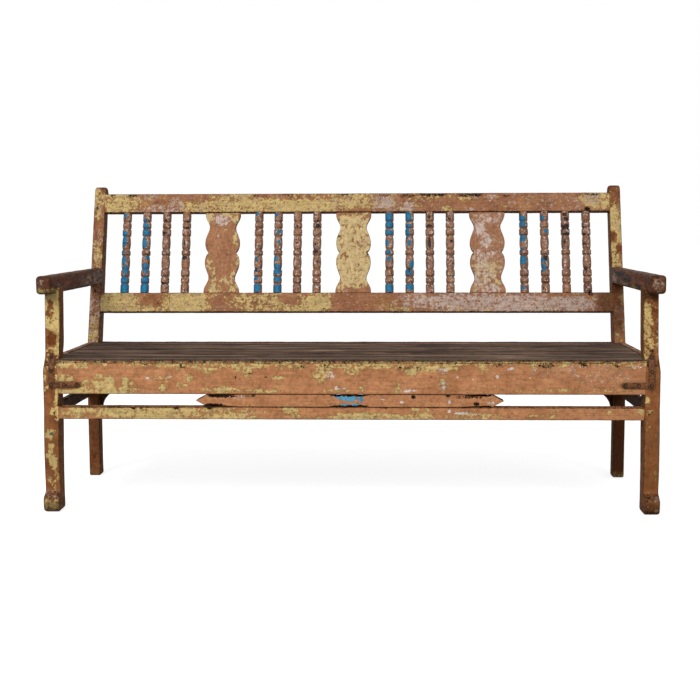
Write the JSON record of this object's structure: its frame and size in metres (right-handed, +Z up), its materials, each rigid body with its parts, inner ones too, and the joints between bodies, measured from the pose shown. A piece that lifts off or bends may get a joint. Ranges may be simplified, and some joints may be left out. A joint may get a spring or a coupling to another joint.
{
  "type": "deacons bench",
  "caption": "Long wooden bench with a slatted seat, low arms, and a raked back of turned spindles and fretted splats, in worn layered paint.",
  "frame": {"origin": "on the floor, under the middle of the bench", "axes": "+X along the bench, to the right as seen from the front; +Y from the front to the back; +Z up"},
  "size_m": [1.784, 0.7606, 0.9627],
  "materials": {
    "salmon_paint": "old terracotta paint over ochre, worn",
    "ochre_paint": "old ochre paint with terracotta patches, worn",
    "blue_paint": "blue paint over terracotta, mostly worn off",
    "brown_paint": "brown stained and painted wood, worn",
    "arm_wood": "dark wood, rubbed smooth",
    "seat_wood": "grey brown weathered wood",
    "rusty_iron": "rusted, with paint remains"
  },
  "bodies": {
    "root": {"front_leg_left": "salmon_paint", "arm_left": "arm_wood", "side_seat_rail_left": "brown_paint", "side_stretcher_left": "brown_paint", "rear_bracket_left": "brown_paint", "back_post_left": "brown_paint", "stretcher_peg_left": "brown_paint", "corner_plate_left": "rusty_iron", "plate_screw_left_1": "rusty_iron", "plate_screw_left_2": "rusty_iron", "plate_screw_left_3": "rusty_iron", "plate_screw_left_4": "rusty_iron", "plate_screw_left_5": "rusty_iron", "front_leg_right": "salmon_paint", "arm_right": "arm_wood", "side_seat_rail_right": "brown_paint", "side_stretcher_right": "brown_paint", "rear_bracket_right": "brown_paint", "back_post_right": "brown_paint", "stretcher_peg_right": "brown_paint", "corner_plate_right": "rusty_iron", "plate_screw_right_1": "rusty_iron", "plate_screw_right_2": "rusty_iron", "plate_screw_right_3": "rusty_iron", "plate_screw_right_4": "rusty_iron", "plate_screw_right_5": "rusty_iron", "seat_slat_1": "seat_wood", "seat_slat_2": "seat_wood", "seat_slat_3": "seat_wood", "seat_slat_4": "seat_wood", "seat_slat_5": "seat_wood", "seat_slat_6": "seat_wood", "seat_slat_7": "seat_wood", "seat_bearer_1": "brown_paint", "seat_bearer_2": "brown_paint", "back_seat_rail": "brown_paint", "carved_board": "salmon_paint", "front_stretcher": "salmon_paint", "splat_left": "salmon_paint", "splat_right": "salmon_paint", "front_seat_rail": "ochre_paint", "splat_middle": "ochre_paint", "top_rail": "ochre_paint", "lower_back_rail": "ochre_paint", "spindle_01": "blue_paint", "spindle_02": "blue_paint", "spindle_03": "brown_paint", "spindle_04": "brown_paint", "spindle_05": "blue_paint", "spindle_06": "blue_paint", "spindle_07": "brown_paint", "spindle_08": "brown_paint", "spindle_09": "blue_paint", "spindle_10": "blue_paint", "spindle_11": "brown_paint", "spindle_12": "brown_paint", "spindle_13": "blue_paint", "spindle_14": "blue_paint", "spindle_15": "brown_paint", "spindle_16": "brown_paint"}
  },
  "joints": []
}
